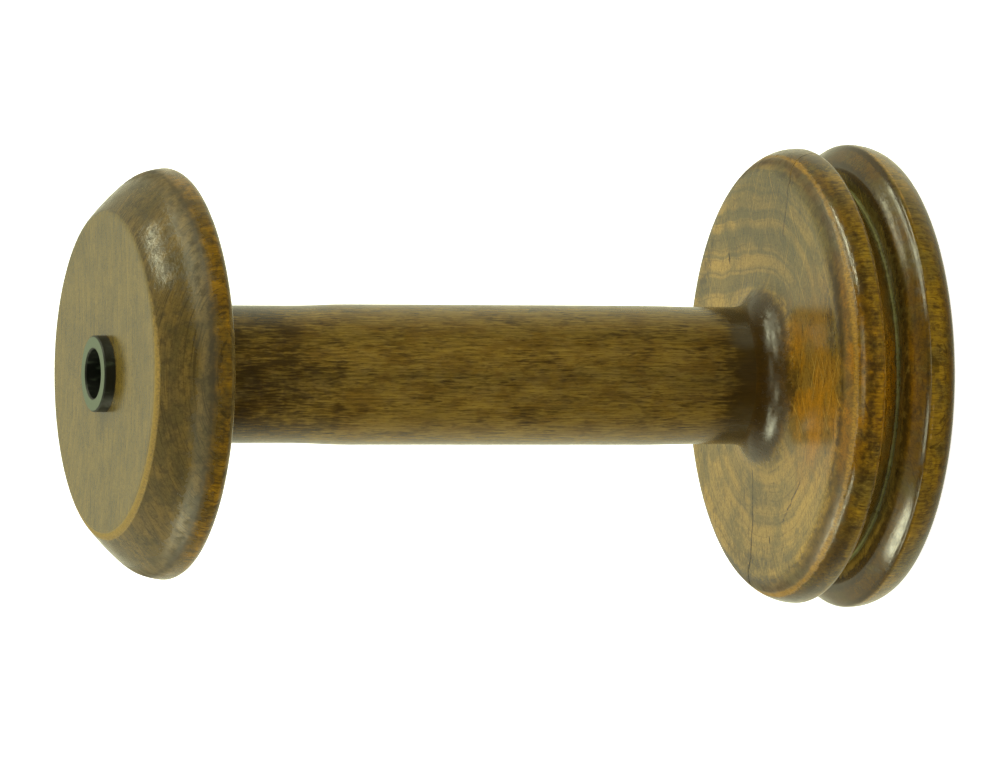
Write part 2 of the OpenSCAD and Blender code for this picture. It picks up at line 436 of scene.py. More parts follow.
BARREL = (
    Outline(SHAFT_HOLE_RADIUS, WHORL_SEAT)
    .line(TENON_RADIUS - TENON_BEVEL, WHORL_SEAT, False)
    .line(TENON_RADIUS, WHORL_SEAT + TENON_BEVEL, False)
    .line(TENON_RADIUS, COVE_TOP, False)
    .line(FOOT_NECK_RADIUS, COVE_TOP, False)
    .line(FOOT_NECK_RADIUS, COVE_TOP + FOOT_NECK_LENGTH).ease(2.0)
    .line(BARREL_RADIUS, COVE_TOP + FOOT_NECK_LENGTH + NECK_TAPER).ease(2.0)
    .line(BARREL_RADIUS, FLANGE_INNER_FACE - HEAD_NECK_LENGTH - NECK_TAPER).ease(2.0)
    .line(HEAD_NECK_RADIUS, FLANGE_INNER_FACE - HEAD_NECK_LENGTH).ease(2.0)
    .line(HEAD_NECK_RADIUS, FLANGE_INNER_FACE)
    .line(TENON_RADIUS, FLANGE_INNER_FACE, False)
    .line(TENON_RADIUS, FLANGE_SEAT - TENON_BEVEL, False)
    .line(TENON_RADIUS - TENON_BEVEL, FLANGE_SEAT, False)
    .line(SHAFT_HOLE_RADIUS, FLANGE_SEAT, False)
    .line(SHAFT_HOLE_RADIUS, WHORL_SEAT, False)
)



def new_effect(name, takes, gives):
    """An empty shader group. takes and gives list its sockets, each with a kind and a value."""
    tree = bpy.data.node_groups.new(name, "ShaderNodeTree")
    kinds = {"value": "NodeSocketFloat", "vector": "NodeSocketVector", "colour": "NodeSocketColor"}
    for socket, kind, value in takes:
        item = tree.interface.new_socket(socket, in_out="INPUT", socket_type=kinds[kind])
        item.default_value = value
    for socket, kind in gives:
        tree.interface.new_socket(socket, in_out="OUTPUT", socket_type=kinds[kind])
    return tree, tree.nodes.new("NodeGroupInput").outputs, tree.nodes.new("NodeGroupOutput").inputs


def use(tree, effect, **sockets):
    """Places an effect in a material with its own values."""
    node = tree.nodes.new("ShaderNodeGroup")
    node.node_tree = effect
    for name, value in sockets.items():
        join(tree, node.inputs[name.replace("_", " ")], value)
    return node.outputs


def stretched(tree, place, x, y, z):
    """Divides a place by a length along each axis, so that a pattern is that long."""
    size = add(tree, "ShaderNodeCombineXYZ", X=x, Y=y, Z=z).outputs[0]
    node = tree.nodes.new("ShaderNodeVectorMath")
    node.operation = "DIVIDE"
    tree.links.new(place, node.inputs[0])
    tree.links.new(size, node.inputs[1])
    return node.outputs[0]


def noise(tree, place, seed, detail=2.0, roughness=0.5, scale=1.0):
    """Soft noise, one unit across, that differs with the seed."""
    return add(tree, "ShaderNodeTexNoise", {"noise_dimensions": "4D"}, Vector=place, W=seed, Scale=scale,
               Detail=detail, Roughness=roughness).outputs[0]


def growth_rings():
    """Growth rings round the pith, which lie flatter on one side. Place is in millimetres."""
    tree, given, made = new_effect("growth_rings", (
        ("Place", "vector", (0.0, 0.0, 0.0)), ("Pith", "vector", (0.0, 0.0, 0.0)), ("Ring Width", "value", 4.0),
        ("Flatness", "value", 0.0), ("Wander", "value", 2.0), ("Seed", "value", 1.0)),
        (("Band", "value"), ("Late Wood", "value")))
    bend = add(tree, "ShaderNodeTexNoise", {"noise_dimensions": "4D"}, Vector=given["Place"], W=given["Seed"],
               Scale=0.07, Detail=2.0).outputs["Color"]
    bend = add(tree, "ShaderNodeVectorMath", {"operation": "SUBTRACT"}, Vector=bend)
    bend.inputs[1].default_value = (0.5, 0.5, 0.5)
    bend = add(tree, "ShaderNodeVectorMath", {"operation": "SCALE"}, Vector=bend.outputs[0], Scale=given["Wander"])
    from_pith = add(tree, "ShaderNodeVectorMath", {"operation": "SUBTRACT"}, Vector=given["Place"])
    join(tree, from_pith.inputs[1], given["Pith"])
    from_pith = add(tree, "ShaderNodeVectorMath", {"operation": "ADD"}, Vector=from_pith.outputs[0])
    join(tree, from_pith.inputs[1], bend.outputs[0])
    parts = add(tree, "ShaderNodeSeparateXYZ", Vector=from_pith.outputs[0]).outputs
    squeeze = maths(tree, "SUBTRACT", 1.0, maths(tree, "MULTIPLY", given["Flatness"], spread(tree, parts["X"], -4.0, 9.0)))
    across = maths(tree, "ADD", maths(tree, "MINIMUM", parts["Y"], 0.0),
                   maths(tree, "MULTIPLY", maths(tree, "MAXIMUM", parts["Y"], 0.0), squeeze))
    flat = add(tree, "ShaderNodeCombineXYZ", X=parts["X"], Y=across).outputs[0]
    away = add(tree, "ShaderNodeVectorMath", {"operation": "LENGTH"}, Vector=flat).outputs["Value"]
    rings = maths(tree, "DIVIDE", away, given["Ring Width"])
    band = add(tree, "ShaderNodeTexNoise", {"noise_dimensions": "1D"}, W=maths(tree, "ADD", rings, given["Seed"]),
               Scale=1.0, Detail=2.0).outputs[0]
    join(tree, made["Band"], spread(tree, band, 0.43, 0.56))
    late = maths(tree, "FRACT", maths(tree, "ADD", maths(tree, "MULTIPLY", rings, 1.7), band))
    comes_and_goes = spread(tree, noise(tree, stretched(tree, given["Place"], 9.0, 3.0, 9.0), given["Seed"]), 0.35, 0.6)
    late = maths(tree, "MULTIPLY", spread(tree, late, 0.78, 0.95), spread(tree, late, 1.0, 0.95))
    join(tree, made["Late Wood"], maths(tree, "MULTIPLY", late, comes_and_goes))
    return tree


def fibres():
    """Streaks, clumps of dark dashes and open pores along the axis. All lengths are in millimetres."""
    tree, given, made = new_effect("fibres", (
        ("Place", "vector", (0.0, 0.0, 0.0)), ("Width", "value", 0.5), ("Length", "value", 8.0),
        ("Clump", "value", 4.0), ("Density", "value", 0.0), ("Pore Width", "value", 0.2),
        ("Pore Length", "value", 1.6), ("Seed", "value", 1.0)),
        (("Streak", "value"), ("Dash", "value"), ("Pore", "value")))
    place, width, length = given["Place"], given["Width"], given["Length"]
    grain = noise(tree, stretched(tree, place, width, width, length), given["Seed"], 4.0, 0.65)
    join(tree, made["Streak"], spread(tree, grain, 0.32, 0.68))
    long_clump = maths(tree, "MULTIPLY", given["Clump"], 2.5)
    clump = noise(tree, stretched(tree, place, given["Clump"], given["Clump"], long_clump), given["Seed"], 2.0)
    wide, short = maths(tree, "MULTIPLY", width, 1.2), maths(tree, "MULTIPLY", length, 0.5)
    dash = noise(tree, stretched(tree, place, wide, wide, short), maths(tree, "ADD", given["Seed"], 5.0), 2.0, 0.6)
    dash = maths(tree, "ADD", dash, maths(tree, "MULTIPLY", maths(tree, "SUBTRACT", clump, 0.5), 0.6))
    dash = maths(tree, "ADD", dash, given["Density"])
    join(tree, made["Dash"], spread(tree, dash, 0.52, 0.74))
    pore = noise(tree, stretched(tree, place, given["Pore Width"], given["Pore Width"], given["Pore Length"]),
                 given["Seed"], 1.0)
    join(tree, made["Pore"], spread(tree, pore, 0.58, 0.66))
    return tree


def ray_flecks():
    """Short dark or bright flecks where the wood's rays are cut across. Lengths are in millimetres."""
    tree, given, made = new_effect("ray_flecks", (
        ("Place", "vector", (0.0, 0.0, 0.0)), ("Length X", "value", 2.2), ("Length Y", "value", 0.5),
        ("Length Z", "value", 2.0), ("Rareness", "value", 0.64), ("Seed", "value", 1.0)), (("Fleck", "value"),))
    fleck = noise(tree, stretched(tree, given["Place"], given["Length X"], given["Length Y"], given["Length Z"]),
                  given["Seed"], 1.0)
    join(tree, made["Fleck"], spread(tree, maths(tree, "SUBTRACT", fleck, given["Rareness"]), 0.0, 0.07))
    return tree


def stain_patches():
    """Where the stain has sunk in deeper. Size is in millimetres."""
    tree, given, made = new_effect("stain_patches", (
        ("Place", "vector", (0.0, 0.0, 0.0)), ("Size", "value", 12.0), ("Stretch", "value", 1.0),
        ("Seed", "value", 1.0)), (("Patch", "value"),))
    along = maths(tree, "MULTIPLY", given["Size"], given["Stretch"])
    patch = noise(tree, stretched(tree, given["Place"], given["Size"], given["Size"], along), given["Seed"], 5.0, 0.68)
    join(tree, made["Patch"], spread(tree, patch, 0.44, 0.6))
    return tree


def scratches():
    """Fine straight pale lines at two slants, which come and go. Lengths are in millimetres."""
    tree, given, made = new_effect("scratches", (
        ("Place", "vector", (0.0, 0.0, 0.0)), ("Width", "value", 0.22), ("Length", "value", 14.0),
        ("Rareness", "value", 0.64), ("Seed", "value", 1.0)), (("Line", "value"),))
    width, length = given["Width"], given["Length"]
    both = 0.0
    for slant in (0.45, -0.6):
        turned = add(tree, "ShaderNodeVectorRotate", {"rotation_type": "Z_AXIS"}, Vector=given["Place"], Angle=slant)
        line = noise(tree, stretched(tree, turned.outputs[0], length, width, length),
                     maths(tree, "ADD", given["Seed"], slant), 1.0)
        both = maths(tree, "MAXIMUM", spread(tree, maths(tree, "SUBTRACT", line, given["Rareness"]), 0.0, 0.06), both)
    join(tree, made["Line"], both)
    return tree


def turning_marks():
    """The faint grooves that the turning tool and sandpaper leave round a piece. Size is in millimetres."""
    tree, given, made = new_effect("turning_marks", (
        ("Profile", "vector", (0.0, 0.0, 0.0)), ("Size", "value", 0.3), ("Seed", "value", 1.0)), (("Mark", "value"),))
    size = given["Size"]
    join(tree, made["Mark"], noise(tree, stretched(tree, given["Profile"], size, size, size), given["Seed"], 2.0))
    return tree


def ring_mark():
    """How near a place is to a ring round the axis, kept where the marks so far are weaker."""
    tree, given, made = new_effect("ring_mark", (
        ("Profile", "vector", (0.0, 0.0, 0.0)), ("Ring", "vector", (0.0, 0.0, 0.0)), ("Reach", "value", 1.0),
        ("Strength", "value", 1.0), ("So Far", "value", 0.0)), (("Mark", "value"),))
    away = add(tree, "ShaderNodeVectorMath", {"operation": "DISTANCE"}, Vector=given["Profile"])
    join(tree, away.inputs[1], given["Ring"])
    away = maths(tree, "DIVIDE", away.outputs["Value"], given["Reach"])
    mark = maths(tree, "EXPONENT", maths(tree, "MULTIPLY", maths(tree, "MULTIPLY", away, away), -1.0))
    join(tree, made["Mark"], maths(tree, "MAXIMUM", given["So Far"], maths(tree, "MULTIPLY", mark, given["Strength"])))
    return tree


def edge_wear_stain_and_painted_light():
    """Arrises rubbed through the stain, stain kept in corners together with painted shade in the cove and the drive
    groove, and dust that also stands in for a painted highlight, each with a ragged limit.
    """
    tree, given, made = new_effect("edge_wear_stain_and_painted_light", (
        ("Place", "vector", (0.0, 0.0, 0.0)), ("Side", "vector", (0.0, 0.0, 0.0)), ("Worn", "value", 0.0),
        ("Stained", "value", 0.0), ("Dusted", "value", 0.0), ("Raggedness", "value", 1.0), ("Seed", "value", 1.0)),
        (("Rubbed", "value"), ("GrimeAndShade", "value"), ("DustAndSheen", "value")))
    on_side = add(tree, "ShaderNodeVectorMath", {"operation": "DOT_PRODUCT"}, Vector=given["Place"])
    join(tree, on_side.inputs[1], given["Side"])
    on_side = spread(tree, on_side.outputs["Value"], -1.0, 1.0, -0.7, 0.7)
    ragged = noise(tree, stretched(tree, given["Place"], 1.4, 1.4, 1.4), given["Seed"], 3.0, 0.6)
    comes_and_goes = noise(tree, stretched(tree, given["Place"], 15.0, 15.0, 15.0), given["Seed"], 1.0)
    ragged = maths(tree, "ADD", maths(tree, "SUBTRACT", ragged, 0.5), maths(tree, "SUBTRACT", comes_and_goes, 0.5))
    ragged = maths(tree, "MULTIPLY", ragged, given["Raggedness"])
    for mark, made_as, share in (("Worn", "Rubbed", 1.0), ("Stained", "GrimeAndShade", 1.4), ("Dusted", "DustAndSheen", 0.5)):
        limit = maths(tree, "ADD", given[mark], maths(tree, "MULTIPLY", ragged, share))
        if mark == "Worn":
            limit = maths(tree, "ADD", limit, on_side)
        limit = spread(tree, limit, 0.15, 0.85)
        join(tree, made[made_as], maths(tree, "MULTIPLY", limit, spread(tree, given[mark], 0.02, 0.25)))
    return tree


RINGS = growth_rings()
FIBRES = fibres()
FLECKS = ray_flecks()
PATCHES = stain_patches()
SCRATCHES = scratches()
MARKS = turning_marks()
RING_MARK = ring_mark()
WEAR_STAIN_AND_PAINTED_LIGHT = edge_wear_stain_and_painted_light()
MM_PER_METRE = 1000.0


def round_profile(tree, place):
    """The radius and the height of a place, as a vector."""
    parts = add(tree, "ShaderNodeSeparateXYZ", Vector=place).outputs
    squares = maths(tree, "ADD", maths(tree, "MULTIPLY", parts["X"], parts["X"]),
                    maths(tree, "MULTIPLY", parts["Y"], parts["Y"]))
    return add(tree, "ShaderNodeCombineXYZ", X=maths(tree, "SQRT", squares), Y=parts["Z"]).outputs[0]


def marked(tree, profile, rings):
    """How strongly rings round the axis mark a place. Each has a radius, a height, a reach and a strength."""
    mark = 0.0
    for radius, height, reach, strength in rings:
        mark = use(tree, RING_MARK, Profile=profile, Ring=(radius, height, 0.0), Reach=reach, Strength=strength,
                   So_Far=mark)["Mark"]
    return mark


def stained_wood(name, seed, faces, slopes, sides, dark, patch_tone, rubbed, worn=(), stain_and_shade=(), dust_and_sheen=(), dull=(),
                 pith=(0.0, 0.0, 0.0), ring_width=4.0, flatness=0.0, wander=3.0, ring_depths=(0.5, 0.5),
                 late_depth=0.3, streak=(0.45, 8.0), streak_depths=(0.3, 0.5), dash_depths=(0.2, 0.7), clump=4.0,
                 dash_density_in_stain_and_shade=0.0, grime_and_shade_depth=0.8, pore_depth=0.4, fleck=(2.2, 0.5, 2.0), fleck_rareness=0.66,
                 fleck_depth=0.5, patch=(12.0, 1.0), patch_depths=(0.5, 0.5), speckle_depth=0.0, scratch_depth=0.0,
                 painted_reflection=None, greyer_side=None, worn_side=(0.0, 0.0, 0.0), gloss=0.13, face_gloss=0.21, relief_depth=0.25):
    """Turned hardwood under walnut stain and lacquer. faces, slopes and sides each give the pale and the
    deep tone where the wood is cut across the fibres, aslant and along them, and a pair of depths is for
    faces and sides. ring_depths are for the half towards -X and the half towards +X. The worn, stain and
    dust lists give rings round the axis: rubbed arrises; stain kept in corners, with painted shade in
    recesses; dust, with a painted highlight in the drive groove. Lengths are in millimetres and depths are shares."""
    material, tree = new_material(name)
    place = add(tree, "ShaderNodeTexCoord").outputs["Object"]
    place = add(tree, "ShaderNodeVectorMath", {"operation": "SCALE"}, Vector=place, Scale=MM_PER_METRE).outputs[0]
    profile = round_profile(tree, place)
    upward = add(tree, "ShaderNodeSeparateXYZ", Vector=place).outputs["X"]
    share = add(tree, "ShaderNodeAttribute", {"attribute_name": "end_grain"}).outputs["Fac"]
    # Rings of kept stain, some of them painted shade in the cove and the groove; on the barrel they also pack the dark
    # dashes closer.
    stain_and_shade_mark = marked(tree, profile, stain_and_shade)
    rings = use(tree, RINGS, Place=place, Pith=pith, Ring_Width=ring_width, Flatness=flatness, Wander=wander, Seed=seed)
    grain = use(tree, FIBRES, Place=place, Width=streak[0], Length=streak[1], Clump=clump,
                Density=maths(tree, "MULTIPLY", stain_and_shade_mark, dash_density_in_stain_and_shade), Seed=seed + 1)
    rays = use(tree, FLECKS, Place=place, Length_X=fleck[0], Length_Y=fleck[1], Length_Z=fleck[2],
               Rareness=fleck_rareness, Seed=seed + 2)
    sunk = use(tree, PATCHES, Place=place, Size=patch[0], Stretch=patch[1], Seed=seed + 3)
    wear_stain_and_painted_light = use(tree, WEAR_STAIN_AND_PAINTED_LIGHT, Place=place, Side=worn_side, Worn=marked(tree, profile, worn), Stained=stain_and_shade_mark,
               Dusted=marked(tree, profile, dust_and_sheen), Seed=seed + 4)
    turned = use(tree, MARKS, Profile=profile, Seed=seed)["Mark"]
    aslant = spread(tree, share, 0.15, 0.5)
    across = spread(tree, share, 0.8, 0.97)
    pale = blend(tree, across, blend(tree, aslant, sides[0], slopes[0]), faces[0])
    deep = blend(tree, across, blend(tree, aslant, sides[1], slopes[1]), faces[1])
    ring_depth = spread(tree, upward, -12.0, 8.0, *ring_depths)
    colour = blend(tree, maths(tree, "MULTIPLY", rings["Band"], ring_depth), pale, deep)
    # Painted reflection: an orange patch on the face in front of the barrel, where the lacquer mirrors the dark barrel
    # instead of the pale room.
    if painted_reflection:
        away = add(tree, "ShaderNodeVectorMath", {"operation": "DISTANCE"}, Vector=place)
        away.inputs[1].default_value = painted_reflection[0]
        ragged = noise(tree, stretched(tree, place, 6.0, 2.0, 6.0), seed + 6, 4.0, 0.65)
        reach = maths(tree, "ADD", maths(tree, "DIVIDE", away.outputs["Value"], painted_reflection[1]), ragged)
        colour = blend(tree, spread(tree, reach, 2.1, 1.1, 0.0, 0.9), colour, PAINTED_REFLECTION_TONE)
    colour = blend(tree, maths(tree, "MULTIPLY", rings["Late Wood"], late_depth), colour, dark)
    depth = spread(tree, across, 0.0, 1.0, patch_depths[1], patch_depths[0])
    colour = blend(tree, maths(tree, "MULTIPLY", sunk["Patch"], depth), colour, patch_tone)
    # Faces turn greyer and darker towards one side of the piece, given as a way, a near and a far distance along it,
    # and a depth.
    if greyer_side:
        way, near, far, depth = greyer_side
        towards = add(tree, "ShaderNodeVectorMath", {"operation": "DOT_PRODUCT"}, Vector=place)
        towards.inputs[1].default_value = way
        depth = maths(tree, "MULTIPLY", spread(tree, towards.outputs["Value"], near, far, 0.0, depth), across)
        colour = blend(tree, depth, colour, patch_tone)
    streaks = maths(tree, "SUBTRACT", 1.0, grain["Streak"])
    depth = spread(tree, aslant, 0.0, 1.0, streak_depths[1], streak_depths[0])
    colour = blend(tree, maths(tree, "MULTIPLY", streaks, depth), colour, dark)
    depth = spread(tree, aslant, 0.0, 1.0, dash_depths[1], dash_depths[0])
    colour = blend(tree, maths(tree, "MULTIPLY", grain["Dash"], depth), colour, dark)
    colour = blend(tree, maths(tree, "MULTIPLY", rays["Fleck"], fleck_depth), colour, dark)
    if scratch_depth:
        lines = maths(tree, "MULTIPLY", use(tree, SCRATCHES, Place=place, Seed=seed + 5)["Line"], across)
        colour = blend(tree, maths(tree, "MULTIPLY", lines, scratch_depth), colour, faces[0])
    mottle = noise(tree, stretched(tree, place, 1.6, 1.6, 1.6), seed + 8, 4.0, 0.72)
    speckle = maths(tree, "MULTIPLY", spread(tree, mottle, 0.46, 0.62), spread(tree, across, 0.0, 1.0, speckle_depth, 0.15))
    colour = blend(tree, speckle, colour, dark)
    colour = blend(tree, wear_stain_and_painted_light["Rubbed"], colour, blend(tree, maths(tree, "MULTIPLY", streaks, 0.7), rubbed, deep))
    # Painted shade in the cove and the drive groove, together with stain kept at rims and arrises, darkens the colour.
    colour = blend(tree, maths(tree, "MULTIPLY", wear_stain_and_painted_light["GrimeAndShade"], grime_and_shade_depth), colour, dark)
    # Dust, which along the bottom of the drive groove is a painted highlight as well.
    colour = blend(tree, wear_stain_and_painted_light["DustAndSheen"], colour, DUST_AND_SHEEN)
    colour = blend(tree, maths(tree, "MULTIPLY", grain["Pore"], pore_depth), colour, dark)
    grip = spread(tree, across, 0.0, 1.0, 1.0, 0.2)
    roughness = maths(tree, "MULTIPLY", spread(tree, mottle, 0.4, 0.65, -0.03, 0.12), grip)
    roughness = maths(tree, "ADD", roughness, spread(tree, across, 0.0, 1.0, gloss, face_gloss))
    dulled = maths(tree, "MAXIMUM", wear_stain_and_painted_light["Rubbed"], marked(tree, profile, dull))
    roughness = maths(tree, "ADD", roughness, maths(tree, "MULTIPLY", dulled, 0.35))
    roughness = maths(tree, "ADD", roughness, maths(tree, "MULTIPLY", wear_stain_and_painted_light["DustAndSheen"], 0.4))
    relief = maths(tree, "SUBTRACT", maths(tree, "MULTIPLY", grain["Streak"], 0.4), maths(tree, "MULTIPLY", grain["Pore"], 0.6))
    relief = maths(tree, "SUBTRACT", relief, maths(tree, "MULTIPLY", rings["Late Wood"], 0.6))
    fine = noise(tree, stretched(tree, place, 0.35, 0.35, 0.35), seed, 3.0, 0.6)
    relief = maths(tree, "ADD", relief, maths(tree, "MULTIPLY", fine, 0.7))
    relief = maths(tree, "ADD", relief, maths(tree, "MULTIPLY", turned, 1.6))
    bump = add(tree, "ShaderNodeBump", Strength=maths(tree, "MULTIPLY", grip, relief_depth), Distance=0.00003,
               Height=relief).outputs[0]
    finish_material(tree, Base_Color=colour, Roughness=roughness, Normal=bump)
    return material


# The orange of the painted reflection of the barrel.
PAINTED_REFLECTION_TONE = (0.38, 0.155, 0.002, 1.0)
# Pale greenish dust tone; in the drive groove it also stands in for a painted highlight.
DUST_AND_SHEEN = (0.4, 0.4, 0.17, 1.0)
BARREL_TONES = ((0.212, 0.13, 0.023, 1.0), (0.137, 0.09, 0.018, 1.0))
BARREL_WOOD = stained_wood(
    "barrel_wood", 3.0, BARREL_TONES, BARREL_TONES, BARREL_TONES, dark=(0.024, 0.013, 0.003, 1.0),
    patch_tone=(0.12, 0.062, 0.007, 1.0), rubbed=(0.33, 0.14, 0.01, 1.0),
    # Darker rings on the barrel: painted shade at its foot in the cove, a broad darkening towards the flange and a thin
    # line at the head neck.
    stain_and_shade=[(HEAD_NECK_RADIUS, FLANGE_INNER_FACE - 11.0, 14.0, 0.5),
             (HEAD_NECK_RADIUS, FLANGE_INNER_FACE - 27.5, 1.4, 0.25), (FOOT_NECK_RADIUS, COVE_TOP, 4.5, 1.2)],
    pith=(30.0, 40.0, 0.0), ring_width=3.0, streak=(0.28, 5.5), streak_depths=(0.6, 0.6), dash_depths=(0.75, 0.75),
    clump=3.0, dash_density_in_stain_and_shade=0.36, grime_and_shade_depth=0.55, fleck=(0.5, 0.5, 4.5), patch=(3.0, 2.2), patch_depths=(0.6, 0.6), gloss=0.14)
barrel = turn_piece("turned_barrel", BARREL, BARREL_WOOD, steps=192, waviness=0.05)
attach(barrel, "root")
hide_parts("barrel")


# The end flange
# The smaller disc, turned from hardwood with the grain along the axis, so that its faces are end
# grain. It is glued on the barrel's tenon.
FLANGE_RADIUS = 36.35
FLANGE_FACE_RADIUS = 28.55
FLANK_HEIGHT = 4.6
FLANK_STEP = 0.55
FLANK_BULGE = 0.33
RIM_ROUNDING = 1.7
SOCKET_RADIUS = 9.05
BUSH_SEAT_RADIUS = 6.77

ARRIS_ALLOWANCE = 0.1
FLANGE_ARRIS = (FLANGE_RADIUS - FLANK_STEP + ARRIS_ALLOWANCE, FLANGE_INNER_FACE + FLANK_HEIGHT + ARRIS_ALLOWANCE)
FLANGE = (
    Outline(SOCKET_RADIUS, FLANGE_INNER_FACE)
    .line(FLANGE_RADIUS - RIM_ROUNDING, FLANGE_INNER_FACE)
    .quarter(FLANGE_RADIUS, FLANGE_INNER_FACE + RIM_ROUNDING, True)
    .line(*FLANGE_ARRIS).ease(1.5)
    .bow(FLANGE_FACE_RADIUS, WOOD_LENGTH, -FLANK_BULGE).ease(0.7)
    .line(BUSH_SEAT_RADIUS, WOOD_LENGTH)
    .line(BUSH_SEAT_RADIUS, FLANGE_SEAT, False)
    .line(SOCKET_RADIUS, FLANGE_SEAT, False)
    .line(SOCKET_RADIUS, FLANGE_INNER_FACE, False)
)
FLANGE_WOOD = stained_wood(
    "flange_wood", 11.0, ((0.225, 0.15, 0.03, 1.0), (0.165, 0.118, 0.026, 1.0)),
    ((0.168, 0.105, 0.028, 1.0), (0.085, 0.058, 0.022, 1.0)), ((0.27, 0.135, 0.008, 1.0), (0.16, 0.08, 0.006, 1.0)),
    dark=(0.03, 0.018, 0.004, 1.0), patch_tone=(0.075, 0.055, 0.018, 1.0), rubbed=(0.34, 0.215, 0.05, 1.0),
    worn=[(FLANGE_FACE_RADIUS + 0.2, WOOD_LENGTH - 0.3, 0.6, 0.5)],
    stain_and_shade=[(FLANGE_ARRIS[0] + 0.1, FLANGE_ARRIS[1] - 0.1, 0.8, 0.7)],
    dull=[(FLANGE_ARRIS[0] - 0.3, FLANGE_ARRIS[1] + 0.6, 1.9, 1.2)],
    pith=(8.0, 75.0, 0.0), ring_width=1.6, ring_depths=(0.55, 0.55), late_depth=0.35, streak=(0.4, 5.0),
    streak_depths=(0.3, 0.6), dash_depths=(0.22, 0.5), clump=5.0, fleck=(16.0, 0.16, 2.0), fleck_rareness=0.57,
    fleck_depth=0.6, patch=(6.0, 1.0), patch_depths=(0.4, 0.65), speckle_depth=0.55, scratch_depth=0.6,
    worn_side=(-0.04, -0.015, 0.0))
flange = turn_piece("turned_end_flange", FLANGE, FLANGE_WOOD, steps=300, waviness=0.08, dents=0.12, seed=2.0)
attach(flange, "root")
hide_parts("end_flange")


# The whorl
# The larger disc, turned like the flange, with the groove that the drive band runs in. Its inner
# face runs out on to the barrel in a cove, and its outer face is what the bobbin stands on.
OUTER_DISC_RADIUS = 41.8
OUTER_FACE_RADIUS = 39.0
OUTER_RIM_HEIGHT = 5.0
OUTER_RIM_LAND = 0.4
GROOVE_BOTTOM_RADIUS = 35.0
GROOVE_HEIGHT = 9.1
GROOVE_BOTTOM_WIDTH = 0.5
GROOVE_FLOOR = GROOVE_HEIGHT - GROOVE_BOTTOM_WIDTH / 2
SHOULDER_WIDTH = 2.8
SHOULDER_HEIGHT = 8.2
SHOULDER_BOW = 0.14
SHOULDER_ROUND = 1.6
LIP_RADIUS = 39.8
LIP_HEIGHT = 13.5
INNER_DISC_RADIUS = 41.0
INNER_RIM_HEIGHT = 14.7
INNER_FACE_RADIUS = 35.4

WHORL = (
    Outline(BUSH_SEAT_RADIUS, 0.0)
    .line(OUTER_FACE_RADIUS, 0.0)
    .quarter(OUTER_DISC_RADIUS, OUTER_RIM_HEIGHT, True)
    .line(OUTER_DISC_RADIUS, OUTER_RIM_HEIGHT + OUTER_RIM_LAND).ease(0.35)
    .bow(OUTER_DISC_RADIUS - SHOULDER_WIDTH, SHOULDER_HEIGHT, -SHOULDER_BOW)
    .bow(OUTER_DISC_RADIUS - SHOULDER_WIDTH - SHOULDER_ROUND, GROOVE_FLOOR, -SHOULDER_BOW)
    .line(GROOVE_BOTTOM_RADIUS, GROOVE_FLOOR)
    .line(GROOVE_BOTTOM_RADIUS, GROOVE_FLOOR + GROOVE_BOTTOM_WIDTH)
    .line(LIP_RADIUS, LIP_HEIGHT).ease(0.5)
    .quarter(INNER_DISC_RADIUS, INNER_RIM_HEIGHT, True)
    .quarter(INNER_FACE_RADIUS, WHORL_THICKNESS, False)
    .line(FOOT_NECK_RADIUS + COVE_RADIUS, WHORL_THICKNESS).ease(1.5)
    .quarter(FOOT_NECK_RADIUS, COVE_TOP, True)
    .line(SOCKET_RADIUS, COVE_TOP, False)
    .line(SOCKET_RADIUS, WHORL_SEAT, False)
    .line(BUSH_SEAT_RADIUS, WHORL_SEAT, False)
    .line(BUSH_SEAT_RADIUS, 0.0, False)
)
